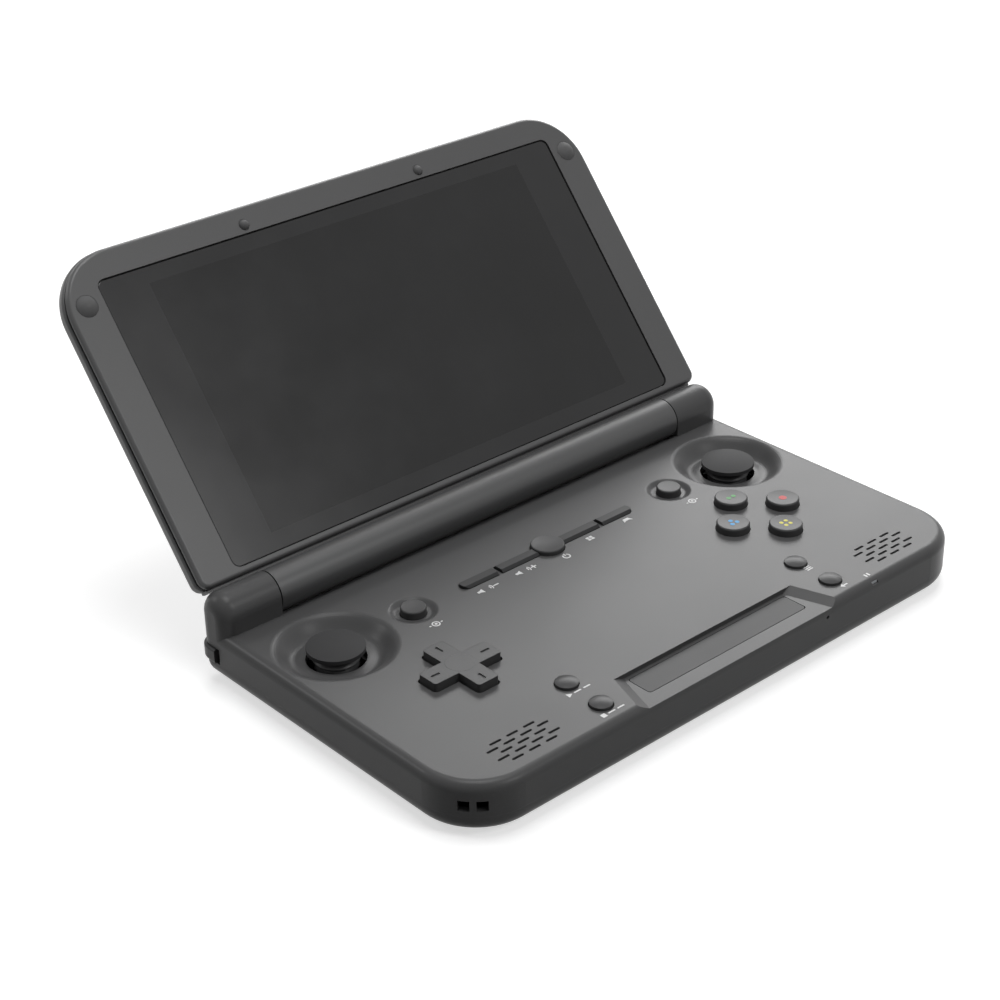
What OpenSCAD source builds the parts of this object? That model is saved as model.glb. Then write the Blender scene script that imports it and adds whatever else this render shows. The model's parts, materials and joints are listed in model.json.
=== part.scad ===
// Clamshell handheld game console, shown open, in millimetres.
// The table is z = 0, +X is to the player's right, +Y points away from the player,
// and the origin lies on the table under the middle of the open footprint.

/* [Base case] */
// Width of the case over its side walls
base_w = 155; // [152:0.5:160]
// Depth of the case from its front wall to its rear wall
base_d = 89.7; // [88:0.1:94]
// Height of the case from its underside to its deck
base_h = 11.7; // [11.5:0.1:12.6]
// Plan radius of the two front corners
corner_r = 14.5; // [13:0.1:15]
// Plan radius of the two rear corners and of the knuckle ends
rear_r = 3.6; // [3.5:0.1:4]
// Radius of the edge between deck and side walls
deck_edge_r = 2.2; // [1.8:0.1:2.4]
// Radius of the edge round the underside
belly_edge_r = 3.2; // [2.5:0.1:3.3]
// Thickness of the side walls
wall = 1.6; // [1.4:0.1:1.8]
// Thickness of the deck
deck_t = 1.6; // [1.5:0.1:1.7]
// Thickness of the floor
floor_t = 1.4; // [1.2:0.1:1.6]
// Height of the parting line above the underside
split_h = 4; // [3.8:0.1:4.1]
// Height of the rubber feet below the underside
foot_h = 0.8; // [0.6:0.1:1.2]
// Radius of a rubber foot
foot_r = 4.5; // [3.5:0.1:5]

/* [Hinge] */
// Radius of the hinge barrel
barrel_r = 5; // [4.9:0.05:5.1]
// Height of the hinge axis above the deck
hinge_up = 3.6; // [3.5:0.05:3.8]
// Length of the knuckle at each end of the barrel
knuckle_run = 15.4; // [15:0.1:16.5]
// Gap between the barrel and each knuckle
seam = 0.3; // [0.2:0.05:0.5]
// Gap between the barrel and the trough that it turns in
barrel_gap = 0.4; // [0.3:0.05:0.5]
// Angle from closed at which the lid stands
lid_open = 130.2; // [90:0.1:170]
// Radius of the hinge pins
pin_r = 1.5; // [1.2:0.05:1.8]
// Radius of the hinge cartridges in the knuckles
cartridge_r = 3.35; // [3:0.05:3.6]

/* [Lid] */
// How far the lid's sides stand in from the side walls
lid_inset = 0.3; // [0.1:0.1:1.5]
// Length of the lid from the hinge axis to its top edge
lid_len = 85.2; // [84.5:0.1:86.5]
// Height of the bezel face above the plane of the hinge axis
lid_face = 1.2; // [1.1:0.05:1.3]
// Plan radius of the two top corners of the lid
lid_corner_r = 14.5; // [13:0.1:15]
// Radius of the edge round the lid's back and of its two lower corners
lid_edge_r = 2.5; // [2:0.1:2.8]
// Gap between the lid's lower edge and the knuckles
knuckle_gap = 0.64; // [0.5:0.02:0.9]
// Thickness of the bezel moulding
bezel_t = 2.1; // [2:0.05:2.2]
// Thickness of the lid cover
cover_t = 1.4; // [1.2:0.1:1.5]
// Radius of the large corner bumpers
bumper_r = 2.55; // [2.3:0.05:2.8]
// Radius of the small top bumpers
small_bumper_r = 1.3; // [1.2:0.05:1.4]

/* [Screen] */
// Width of the bezel at each side of the glass
glass_side = 9.75; // [9.2:0.05:10.7]
// Distance of the glass's lower edge from the hinge axis
glass_low = 7.5; // [7.2:0.1:8.5]
// Thickness of the touch glass
glass_t = 0.9; // [0.7:0.05:1]
// Depth of the glass below the bezel face
glass_sink = 0.3; // [0.2:0.05:0.4]
// Distance from the glass's top edge to the lid's top edge
glass_top = 7.2; // [7:0.1:7.6]
// Thickness of the display panel
panel_t = 2; // [1.5:0.1:2.2]

/* [Sticks] */
// Distance of each stick from its side wall
stick_side = 16.1; // [15.9:0.1:17]
// Distance of each stick in front of the hinge axis
stick_back = 22.8; // [22.3:0.1:23.2]
// Radius of the rim of each stick dish
dish_r = 14.1; // [13:0.1:14.2]
// Depth of each stick dish
dish_depth = 3.3; // [3:0.1:3.4]
// Radius of the hole in the middle of each dish
dish_hole_r = 6.7; // [6.5:0.1:7]
// Radius of the stick caps
cap_r = 6.5; // [6:0.1:6.6]
// Angle that a stick leans each way about one axis
stick_tilt = 11; // [8:1:11]

/* [Pads and buttons] */
// Distance of the directional pad from the left side wall
dpad_side = 29.3; // [29:0.1:30]
// Distance of the directional pad in front of the left stick
dpad_ahead = 25.5; // [25:0.1:25.9]
// Span of the directional pad
dpad_span = 18.3; // [17:0.1:18.6]
// Width of an arm of the directional pad
dpad_arm = 5.6; // [5:0.1:6.2]
// Height of the directional pad above the deck
dpad_up = 1.8; // [1.4:0.1:2]
// Angle that the directional pad rocks each way
dpad_rock = 3; // [2:0.5:3]
// Distance of the face-button group from the right side wall
face_side = 31.5; // [31:0.1:32]
// Distance of the face-button group in front of the right stick
face_ahead = 23.9; // [23.5:0.1:24.4]
// Distance of each face button from the middle of its group
face_ring = 8.65; // [8.3:0.05:8.8]
// Radius of a face button
face_r = 3.95; // [3.6:0.05:4.1]
// Height of the face buttons above the deck
face_up = 1.8; // [1.4:0.1:2]
// Radius of the four small round buttons
small_r = 2.55; // [2.3:0.05:2.8]
// Distance of the small buttons inwards from the directional pad
small_in = 12.5; // [12.2:0.1:12.7]
// Distances of the small buttons from the front wall, lower first
small_front = [7.1, 17.3];
// Height of the small buttons above the deck
small_up = 1; // [0.6:0.1:1.2]
// Radius of the stick-click buttons
click_r = 2.95; // [2.7:0.05:3.2]
// Distance of each stick-click button inwards from its stick
click_in = 21.3; // [20.8:0.1:21.4]
// Radius of the shallow dish round each stick-click button
click_dish_r = 5.7; // [5:0.1:6]
// Travel of every deck button
press = 0.6; // [0.4:0.05:0.7]

/* [Key bar] */
// Distance of the key bar in front of the hinge axis
key_back = 23.3; // [23:0.1:23.6]
// Width of the bar keys
key_w = 3.3; // [3:0.1:3.5]
// Outer end of the outer keys from the middle of the case
key_end = 26.4; // [26:0.1:27]
// Place of the web between inner and outer keys
key_web = 15.8; // [15.5:0.1:16.1]
// Height of the bar keys above the deck
key_up = 0.7; // [0.5:0.1:0.9]
// Radius of the round power button
power_r = 4; // [3.8:0.05:4.1]
// Height of the power button above the deck
power_up = 1.1; // [0.8:0.1:1.3]

/* [Shoulder buttons] */
// How far the shoulder buttons stand out of the wall
shoulder_out = 0.7; // [0.5:0.1:0.9]
// Travel of the shoulder buttons
shoulder_press = 0.8; // [0.6:0.1:0.9]
// Height of the shoulder buttons
shoulder_h = 3.5; // [3.2:0.1:3.6]
// Distance of each shoulder pair's inner end from the side wall
shoulder_reach = 36.3; // [35.5:0.1:36.5]
// Distance of the web between the two shoulder buttons of a pair from the side wall
shoulder_split = 17.6; // [17.2:0.1:18]

/* [Front notch, grilles and sockets] */
// Depth of the finger notch in the front of the deck
notch_depth = 1.1; // [0.9:0.1:1.2]
// Distance of the notch's rear corners from the small buttons
notch_gap = 8.2; // [7.2:0.1:9.2]
// Length of the notch from the front wall
notch_len = 11.7; // [11:0.1:12.2]
// Distance of each speaker from its side wall
speaker_side = 21.66; // [21.5:0.02:22]
// Distance of each speaker from the front wall
speaker_front = 8.5; // [8.4:0.1:8.8]
// Length of a grille slot
slot_len = 3; // [2.6:0.1:3.2]
// Width of a grille slot
slot_w = 0.62; // [0.5:0.02:0.7]
// Radius of the headphone socket's bore
jack_r = 1.8; // [1.75:0.01:1.85]

/* [Boards and battery] */
// Thickness of the main board
board_t = 1; // [0.8:0.1:1.2]
// Thickness of the control boards
ctl_t = 0.8; // [0.6:0.1:0.9]
// Distance of the battery from the front wall
battery_front = 15.2; // [15:0.1:18]
// Gap between the battery and the boards beside and behind it
battery_gap = 1.9; // [1.5:0.1:4]
// Thickness of the battery
battery_t = 4.5; // [4:0.1:4.8]

/* [Hidden] */
$fn = 64;

// Small clearances that the pieces share
fit = 0.05;      // running fit of a pin in its hole
slip = 0.15;     // round a button in its hole
air = 0.1;       // under a ledge that holds a button in
eps = 0.01;      // overshoot of a cut past a face

// Levels of the base, from the table up
belly_z = foot_h;
floor_in = belly_z + floor_t;
split_z = belly_z + split_h;
deck_z = belly_z + base_h;
deck_in = deck_z - deck_t;
hinge_z = deck_z + hinge_up;
board_top = split_z;
board_z = board_top - board_t;
trough_z = hinge_z - barrel_r - barrel_gap;
trough_t = 1.2;
ctl_top = deck_in - 3.1;
ctl_z = ctl_top - ctl_t;

// Places along Y. The lid's top edge is the rearmost point of the open console.
lid_rise = 180 - lid_open;
lid_reach = (lid_len - lid_edge_r)*cos(lid_rise) + (barrel_r - lid_edge_r)*sin(lid_rise) + lid_edge_r;
front_y = -(base_d - barrel_r + lid_reach)/2;
rear_y = front_y + base_d;
hinge_y = rear_y - barrel_r;
half_w = base_w/2;
barrel_half = half_w - knuckle_run - seam;

stick_x = half_w - stick_side;
stick_y = hinge_y - stick_back;
pivot_z = deck_z - dish_depth - 3.9;
dpad_x = half_w - dpad_side;
dpad_y = stick_y - dpad_ahead;
face_x = half_w - face_side;
face_y = stick_y - face_ahead;
small_x = dpad_x - small_in;
notch_half = small_x - notch_gap;
key_y = hinge_y - key_back;
click_x = stick_x - click_in;
click_y = key_y + 0.15;
speaker_x = half_w - speaker_side;
speaker_y = front_y + speaker_front;
shoulder_in = half_w - shoulder_reach;
shoulder_web = half_w - shoulder_split;

// Control boards beside the battery, measured from the pads, and the key board behind it
ctl_in = 15.3;
ctl_out = 12.2;
ctl_front = 12.9;
ctl_back = 15.3;
key_board_side = 1.6;
key_board_front = 4.3;
key_board_back = 8.1;
battery_y0 = front_y + battery_front;
small_tongue = 2.8;
battery_w = 2*(min(dpad_x - ctl_in, small_x - small_tongue) - battery_gap);
battery_d = key_y - key_board_front - battery_gap - battery_y0;

// Button flange and the switch or dome below it
flange_top = deck_in - air;
flange_t = 0.8;
flange_z = flange_top - flange_t;
lip = 0.95;
switch_top = flange_z - press - fit;

// Case screws: two in front, two at mid side, two behind
screw_r = 0.9;
screw_head_r = 1.9;
screw_head_h = 1.4;
screw_seat_z = belly_z + 1.8;
post_r = 3;
boss_r = 2.4;
screw_bite = 4;
screw_at = [
    for (s = [-1, 1]) [s*(speaker_x - 12.9), front_y + wall + boss_r + 1.2],
    for (s = [-1, 1]) [s*(half_w - wall - boss_r - 3.5), front_y + 32.5],
    for (s = [-1, 1]) [s*(stick_x - 10.9), stick_y + 13.6]];
foot_side = 15.5;
foot_at = [
    for (s = [-1, 1]) [s*(half_w - foot_side), front_y + 12],
    for (s = [-1, 1]) [s*(half_w - foot_side), rear_y - 10]];
standoff_r = 1.8;
standoff_at = [
    for (s = [-1, 1]) [s*(half_w - 17.5), front_y + 24.5],
    for (s = [-1, 1]) [s*(half_w - 17.5), stick_y - 12.9],
    for (s = [-1, 1]) [s*25, front_y + 11],
    for (s = [-1, 1]) [s*22, rear_y - 17],
    for (s = [-1, 1]) [s*(half_w - 33.5), rear_y - 6]];

// Rounded rectangle centred on the origin
module rrect(w, d, r) {
    square([w - 2*r, d], center = true);
    square([w, d - 2*r], center = true);
    for (i = [-1, 1], j = [-1, 1]) translate([i*(w/2 - r), j*(d/2 - r)]) circle(r);
}

// Slot of length w with round ends
module pill(w, d) {
    square([w - d, d], center = true);
    for (i = [-1, 1]) translate([i*(w - d)/2, 0]) circle(d/2);
}

// Cross-section of a wall whose outside is at x = depth, rounded above and below
module edge_profile(depth, h, rt, rb) difference() {
    square([depth, h]);
    if (rt > 0) translate([depth - rt, h - rt]) corner_waste(rt);
    if (rb > 0) translate([depth - rb, rb]) rotate(270) corner_waste(rb);
}
module corner_waste(r) difference() {
    square(r + 1);
    circle(r);
}

// Slab between y0 and y1 with plan corners r0 at y0 and r1 at y1, edges rt above and rb below
module slab(hw, y0, y1, r0, r1, z0, z1, rt, rb) {
    h = z1 - z0;
    deep = max(r0, r1);
    translate([0, 0, z0]) {
        for (s = [0, 1]) mirror([s, 0, 0]) {
            translate([hw - r0, y0 + r0, 0]) rotate(270) rotate_extrude(angle = 90)
                edge_profile(r0, h, rt, rb);
            translate([hw - r1, y1 - r1, 0]) rotate_extrude(angle = 90)
                edge_profile(r1, h, rt, rb);
            translate([hw - deep, y1 - r1, 0]) rotate([90, 0, 0])
                linear_extrude(y1 - y0 - r0 - r1) edge_profile(deep, h, rt, rb);
        }
        translate([hw - r0, y0 + r0, 0]) rotate(270) rotate([90, 0, 0])
            linear_extrude(2*(hw - r0)) edge_profile(r0, h, rt, rb);
        translate([r1 - hw, y1 - r1, 0]) rotate(90) rotate([90, 0, 0])
            linear_extrude(2*(hw - r1)) edge_profile(r1, h, rt, rb);
        translate([deep - hw, y0 + r0, 0]) cube([2*(hw - deep), y1 - y0 - r0 - r1, h]);
    }
}

// Outside of the case between two levels, grown or shrunk by inset
module case_slab(inset, z0, z1, rt, rb) {
    slab(half_w - inset, front_y + inset, rear_y - inset, corner_r - inset, rear_r - inset,
        z0, z1, rt, rb);
}

// Turned button: domed by a positive crown, dished by a negative one
module turned(r, z0, z1, edge, crown) {
    ball = (r*r + crown*crown)/(2*abs(crown));
    translate([0, 0, z0]) rotate_extrude() intersection() {
        square([r, z1 - z0]);
        difference() {
            union() {
                square([r, z1 - z0 - edge]);
                square([r - edge, z1 - z0]);
                translate([r - edge, z1 - z0 - edge]) circle(edge);
            }
            if (crown < 0) translate([0, z1 - z0 + ball + crown]) circle(ball, $fn = 180);
            if (crown > 0) difference() {
                translate([0, z1 - z0 - 2*crown]) square([r + 1, 3*crown]);
                translate([0, z1 - z0 - ball]) circle(ball, $fn = 180);
            }
        }
    }
}

// Deck button with the flange that keeps it in
module deck_button(at, r, up, edge, crown) {
    translate(at) {
        turned(r, flange_z + flange_t/2, deck_z + up, edge, crown);
        translate([0, 0, flange_z]) cylinder(r = r + lip, h = flange_t);
    }
}

// Base: the lower case with its screw posts, standoffs and foot recesses
foot_sink = 0.4;
module lower_case() color([0.2, 0.2, 0.21]) {
    difference() {
        union() {
            difference() {
                case_slab(0, belly_z, split_z, 0, belly_edge_r);
                case_slab(wall, floor_in, split_z + 1, 0, belly_edge_r - wall);
            }
            for (p = screw_at) translate([p.x, p.y, floor_in - eps])
                cylinder(r = post_r, h = split_z - floor_in + eps);
            for (p = standoff_at) translate([p.x, p.y, floor_in - eps])
                cylinder(r = standoff_r, h = board_z - floor_in + eps);
        }
        for (p = screw_at) translate([p.x, p.y, 0]) {
            cylinder(r = screw_r + slip, h = split_z + 1);
            cylinder(r = screw_head_r + slip, h = screw_seat_z);
        }
        for (p = foot_at) translate([p.x, p.y, 0])
            cylinder(r = foot_r + slip, h = belly_z + foot_sink);
    }
}

// Two square strap holes through the front left corner, with a bar left between them
strap_side = 2.4;
strap_z = split_z + 2.6;
module lanyard_cut() {
    for (a = [-142, -127]) translate([corner_r - half_w, front_y + corner_r, strap_z])
        rotate(a) translate([corner_r - wall - 0.5, -strap_side/2, -strap_side/2])
            cube([wall + 2, strap_side, strap_side]);
}

// Dish round a stick: a raised lip at the hole, a floor and a soft slope up to the rim
lip_h = 0.3;
floor_r = dish_hole_r + 2.3;
slope = [for (t = [0:1/12:1])
    [floor_r + (dish_r - floor_r)*t, -dish_depth*(1 + cos(180*t))/2]];
lip_curve = [for (t = [0:1/5:0.99])
    [dish_hole_r + (floor_r - dish_hole_r)*t, -dish_depth + lip_h*(1 + cos(180*t))/2]];
bowl_t = 1.3;
module stick_dish() {
    rotate_extrude() polygon(concat([[0, 2], [0, -dish_depth]], lip_curve, slope, [[dish_r, 2]]));
}
module stick_bowl() {
    rotate_extrude() polygon(concat([[0, -deck_t/2], [0, -dish_depth - bowl_t]],
        [for (p = slope) [p.x + bowl_t*0.6, p.y - bowl_t]], [[dish_r + bowl_t*0.6, -deck_t/2]]));
}

// Shallow dish round a stick-click button
click_depth = 0.8;
module click_dish() {
    flat_r = click_r + 0.9;
    rotate_extrude() polygon(concat([[0, 2], [0, -click_depth]],
        [for (t = [0:1/8:1]) [flat_r + (click_dish_r - flat_r)*t, -click_depth*(1 + cos(180*t))/2]],
        [[click_dish_r, 2]]));
}

// Knuckle that carries one end of the hinge: half round above, square below
module knuckle() {
    x0 = barrel_half + seam;
    run = half_w - x0;
    foot = trough_z - trough_t;
    translate([x0, hinge_y, hinge_z]) rotate([0, 90, 0]) rotate_extrude() {
        square([barrel_r, run - rear_r]);
        square([barrel_r - rear_r, run]);
        translate([barrel_r - rear_r, run - rear_r]) intersection() {
            circle(rear_r);
            square(rear_r);
        }
    }
    translate([x0, hinge_y, foot]) linear_extrude(hinge_z - foot) {
        translate([0, -barrel_r]) square([run - rear_r, 2*barrel_r]);
        translate([0, rear_r - barrel_r]) square([run, 2*(barrel_r - rear_r)]);
        for (j = [-1, 1]) translate([run - rear_r, j*(barrel_r - rear_r)]) circle(rear_r);
    }
}

// Notch: a flat floor with a ramp at each end, open to the front
notch_z = deck_z - notch_depth;
notch_ramp = 2.6;
notch_flare = 18;
module notch_cut() {
    reach = notch_half + notch_len;
    difference() {
        translate([-reach, front_y - 1, notch_z]) cube([2*reach, notch_len + 1, notch_depth + 1]);
        for (s = [0, 1]) mirror([s, 0, 0])
            translate([notch_half, front_y + notch_len, 0]) rotate(notch_flare)
                rotate([90, 0, 0]) translate([0, 0, -5]) linear_extrude(notch_len + 12)
                    polygon([[-notch_ramp, notch_z - 1], [-notch_ramp, notch_z], [0, deck_z],
                        [0, deck_z + 2], [20, deck_z + 2], [20, notch_z - 1]]);
    }
}

// Inlay in the notch floor
inlay_half = notch_half - 3.2;
inlay_front = 4.3;
inlay_d = 6.4;
inlay_t = 0.5;
groove = 0.15;
module inlay(grow, z0, h) {
    translate([0, front_y + inlay_front + inlay_d/2, z0]) linear_extrude(h)
        rrect(2*(inlay_half + grow), inlay_d + 2*grow, 0.8);
}
module notch_plate() color([0.4, 0.4, 0.41]) inlay(0, notch_z - inlay_t, inlay_t);

// Grille: five rows of slots, alternately three and four, staggered by half a pitch
grille_x = 4.51;
grille_y = 1.68;
module grille() {
    for (row = [-2:2]) {
        n = abs(row) % 2 == 0 ? 3 : 4;
        for (i = [0:n - 1]) translate([(i - (n - 1)/2)*grille_x, row*grille_y])
            pill(slot_len, slot_w);
    }
}

// Opening and body of the bar keys, in plan; side = -1 left, 1 right
key_gap = 1.2;
module outer_key_plan(side, grow) {
    mirror([side < 0 ? 1 : 0, 0, 0]) {
        translate([key_web + key_gap/2 - grow, -key_w/2 - grow])
            square([key_end - key_w/2 - key_web - key_gap/2 + grow, key_w + 2*grow]);
        translate([key_end - key_w/2, 0]) circle(key_w/2 + grow);
    }
}
module inner_key_slot(side, grow) mirror([side < 0 ? 1 : 0, 0, 0])
    translate([0, -key_w/2 - grow]) square([key_web - key_gap/2 + grow, key_w + 2*grow]);
module inner_key_plan(side) difference() {
    inner_key_slot(side, 0);
    circle(power_r + slip);
}
key_ledge = 0.5;
key_bevel = 0.6;
module key_body(side, x0, x1) {
    top = deck_z + key_up;
    translate([0, key_y, 0]) {
        intersection() {
            translate([0, 0, flange_z]) linear_extrude(top - flange_z) children();
            rotate([90, 0, 90]) translate([0, 0, -30]) linear_extrude(60)
                polygon([[-key_w/2, flange_z], [key_w/2, flange_z], [key_w/2, top - key_bevel],
                    [key_w/2 - key_bevel, top], [key_bevel - key_w/2, top],
                    [-key_w/2, top - key_bevel]]);
        }
        mirror([side < 0 ? 1 : 0, 0, 0])
            translate([x0, -key_w/2 - key_ledge, flange_z])
                cube([x1 - x0, key_w + 2*key_ledge, flange_t]);
    }
}
module outer_key(side) {
    key_body(side, key_web + 0.4, key_end - 0.8) outer_key_plan(side, 0);
}
module inner_key(side) difference() {
    key_body(side, power_r + lip + 0.5, key_web - 0.4) inner_key_plan(side);
    translate([0, key_y, 0])
        cylinder(r = power_r + lip + slip, h = flange_top + press + slip);
}

// Openings in the rear wall for the shoulder buttons, and the buttons, on the right side
shoulder_z = split_z + slip;
shoulder_wrap = 6;
web_half = 0.5;
module shoulder_opening() {
    h = shoulder_h + 2*slip;
    translate([shoulder_in - slip, rear_y - wall - 2, split_z - eps])
        cube([shoulder_web - web_half - shoulder_in + slip, wall + 4, h + eps]);
    translate([shoulder_web + web_half, rear_y - wall - 2, split_z - eps])
        cube([half_w - shoulder_web, wall + 4, h + eps]);
    translate([half_w - wall - 2, rear_y - shoulder_wrap - shoulder_press - slip, split_z - eps])
        cube([wall + 4, shoulder_wrap + shoulder_press + slip + 4, h + eps]);
}
shoulder_deep = wall + air + shoulder_out;
shoulder_edge = 0.6;
module shoulder_bar(x0, x1) {
    translate([x0, rear_y + shoulder_out - shoulder_deep, shoulder_z]) rotate(90)
        rotate([90, 0, 0]) linear_extrude(x1 - x0)
            edge_profile(shoulder_deep, shoulder_h, shoulder_edge, shoulder_edge);
}
tab_t = 1;
module shoulder_tab(x0, x1) {
    translate([x0, rear_y - wall - air - tab_t, shoulder_z])
        cube([x1 - x0, tab_t + eps, shoulder_h + 0.7]);
}
module shoulder_inner() {
    shoulder_bar(shoulder_in, shoulder_web - web_half - slip);
    shoulder_tab(shoulder_in - 0.6, shoulder_web - 0.9);
}
module shoulder_outer() {
    shoulder_bar(shoulder_web + web_half + slip, half_w - rear_r);
    translate([half_w - rear_r, rear_y - rear_r, shoulder_z]) rotate_extrude(angle = 90)
        translate([rear_r + shoulder_out - shoulder_deep, 0])
            edge_profile(shoulder_deep, shoulder_h, shoulder_edge, shoulder_edge);
    translate([half_w + shoulder_out - shoulder_deep, rear_y - rear_r, shoulder_z]) rotate([90, 0, 0])
        linear_extrude(shoulder_wrap - rear_r)
            edge_profile(shoulder_deep, shoulder_h, shoulder_edge, shoulder_edge);
    shoulder_tab(shoulder_web + 0.9, half_w - rear_r);
}

// Sockets in the rear wall: [place along X, width, height, depth]
socket_sink = 0.4;
usb = [14, 7.6, 2.7, 5.5];
hdmi = [-3, 11.2, 3.2, 7];
card = [-22, 12.6, 2, 14];
jack_x = 28.5;
jack_w = 6.4;
jack_h = 4.4;
jack_len = 13;
jack_mouth_r = 2.35;
jack_gap = 0.5;
jack_face = rear_y - wall - jack_gap;
jack_z = board_top + jack_h/2;
module socket_block(s) {
    translate([s[0] - s[1]/2, rear_y - socket_sink - s[3], board_top]) cube([s[1], s[3], s[2]]);
}
module socket_hole(s) {
    translate([s[0] - s[1]/2 - slip, rear_y - wall - 1, split_z - eps])
        cube([s[1] + 2*slip, wall + 2, s[2] + slip + eps]);
}
module jack_hole() translate([jack_x, rear_y - wall - 1, jack_z]) rotate([-90, 0, 0])
    cylinder(r = jack_mouth_r, h = wall + 2);
module metal_socket(s, skin, tongue) {
    difference() {
        socket_block(s);
        translate([s[0] - s[1]/2 + skin, rear_y - s[3] + 1, board_top + skin])
            cube([s[1] - 2*skin, s[3], s[2] - 2*skin]);
    }
    translate([s[0] - tongue/2, rear_y - socket_sink - s[3] + 0.5, board_top + s[2]/2 - 0.3])
        cube([tongue, s[3] - 1, 0.6]);
}

// Microphone and light at the front
mic_x = 26.8;
mic_z = deck_in - 1.2;
mic_r = 0.45;
led_x = half_w - 34.25;
led_z = deck_z - 1.2;
led_w = 1.9;
led_h = 0.6;
led_front = 0.72;
module led_channel(grow) {
    out = grow > 0 ? 1 + led_front : 0;
    translate([led_x - led_w/2 - grow, front_y + led_front - out, led_z - grow])
        cube([led_w + 2*grow, 2.63 + out + grow, led_h + 2*grow]);
    translate([led_x - led_w/2 - grow, front_y + 2.4 - grow, deck_in - 1])
        cube([led_w + 2*grow, 0.95 + 2*grow, led_z + led_h + grow - deck_in + 1]);
}

// Bosses that hang from the deck and carry the control boards
ctl_boss_r = 1.5;
ctl_boss_at = [
    [dpad_x + ctl_out - 3.4, dpad_y + ctl_back - 1.7],
    [dpad_x - ctl_in + 2.1, dpad_y + ctl_back - 2.2],
    [dpad_x + ctl_out - 2.9, dpad_y - ctl_front + 2],
    [dpad_x - ctl_in + 3.1, dpad_y - ctl_front + 1.5]];
key_boss_r = 1.2;
key_boss_at = [for (s = [-1:1]) [s*(key_end - 5.9), key_y + power_r + lip + 1.6]];

module upper_case() color([0.42, 0.42, 0.43]) {
    trough_y = hinge_y - barrel_r + 0.5;
    back_half = barrel_half + seam;
    difference() {
        union() {
            difference() {
                case_slab(0, split_z, deck_z, deck_edge_r, 0);
                case_slab(wall, split_z - 1, deck_in, 0, 0);
                translate([-back_half, trough_y, trough_z])
                    cube([2*back_half, base_d, base_h]);
            }
            translate([-back_half, trough_y - wall, trough_z - trough_t])
                cube([2*back_half, rear_y - trough_y + wall, trough_t]);
            translate([-back_half, trough_y - wall, trough_z - trough_t])
                cube([2*back_half, wall, deck_z - trough_z + trough_t - 0.3]);
            for (s = [0, 1]) mirror([s, 0, 0]) {
                knuckle();
                translate([stick_x, stick_y, deck_z]) stick_bowl();
                for (p = ctl_boss_at) translate([p.x, p.y, ctl_top])
                    cylinder(r = ctl_boss_r, h = deck_in - ctl_top + eps);
            }
            translate([-notch_half - 4, front_y + wall - eps, notch_z - 1.2])
                cube([2*notch_half + 8, notch_len, deck_in - notch_z + 1.2 + eps]);
            for (p = key_boss_at) translate([p.x, p.y, ctl_top])
                cylinder(r = key_boss_r, h = deck_in - ctl_top + eps);
            for (p = screw_at) translate([p.x, p.y, split_z])
                cylinder(r = boss_r, h = deck_in - split_z + eps);
        }
        for (p = screw_at) translate([p.x, p.y, split_z - 1])
            cylinder(r = screw_r + fit, h = screw_bite + 1.5);
        for (s = [0, 1]) mirror([s, 0, 0]) {
            translate([stick_x, stick_y, deck_z]) stick_dish();
            translate([stick_x, stick_y, ctl_z]) cylinder(r = dish_hole_r, h = base_h);
            translate([click_x, click_y, deck_z]) click_dish();
            translate([click_x, click_y, ctl_z]) cylinder(r = click_r + slip, h = base_h);
            for (d = small_front) translate([small_x, front_y + d, ctl_z])
                cylinder(r = small_r + slip, h = base_h);
            translate([speaker_x, speaker_y, deck_in - 1]) linear_extrude(deck_t + 2) grille();
            translate([barrel_half, hinge_y, hinge_z]) rotate([0, 90, 0])
                cylinder(r = cartridge_r + fit, h = seam + cartridge_len + 0.6);
            shoulder_opening();
        }
        translate([-dpad_x, dpad_y, ctl_z]) linear_extrude(base_h) dpad_plan(dpad_slack);
        for (a = [0:90:270]) translate([face_x, face_y, ctl_z]) rotate(a)
            translate([face_ring, 0, 0]) cylinder(r = face_r + slip, h = base_h);
        translate([0, key_y, ctl_z]) linear_extrude(base_h) {
            circle(power_r + slip);
            for (s = [-1, 1]) {
                inner_key_slot(s, slip);
                outer_key_plan(s, slip);
            }
        }
        notch_cut();
        inlay(groove, notch_z - inlay_t, 1);
        for (s = [usb, hdmi, card]) socket_hole(s);
        jack_hole();
        translate([mic_x, front_y - 1, mic_z]) rotate([-90, 0, 0]) cylinder(r = mic_r, h = wall + 2);
        led_channel(fit);
        lanyard_cut();
    }
}

// Main board, cut back round the sticks, speakers and screw posts
module mainboard() color([0.1, 0.3, 0.2]) {
    rear = rear_y - wall - 0.3;
    mid = half_w - 12.5;
    arm = half_w - 24;
    nose = speaker_x - 15.8;
    translate([0, 0, board_z]) linear_extrude(board_t) difference() {
        polygon([for (s = [-1, 1], p = s < 0 ?
            [[nose, front_y + 3], [nose, front_y + 16.5], [mid, front_y + 16.5],
                [mid, stick_y - 8], [arm, stick_y - 8], [arm, rear_y - 10], [mid + 6, rear_y - 10],
                [mid + 6, rear_y - 4], [arm, rear_y - 4], [arm, rear]] :
            [[arm, rear], [arm, rear_y - 4], [mid + 6, rear_y - 4], [mid + 6, rear_y - 10],
                [arm, rear_y - 10], [arm, stick_y - 8], [mid, stick_y - 8], [mid, front_y + 16.5],
                [nose, front_y + 16.5], [nose, front_y + 3]]) [s*p.x, p.y]]);
        for (p = screw_at) translate([p.x, p.y]) circle(post_r + 0.3);
    }
}

module battery() color([0.15, 0.15, 0.16])
    translate([0, battery_y0 + battery_d/2, board_top])
        linear_extrude(battery_t) rrect(battery_w, battery_d, 1.5);

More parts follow.
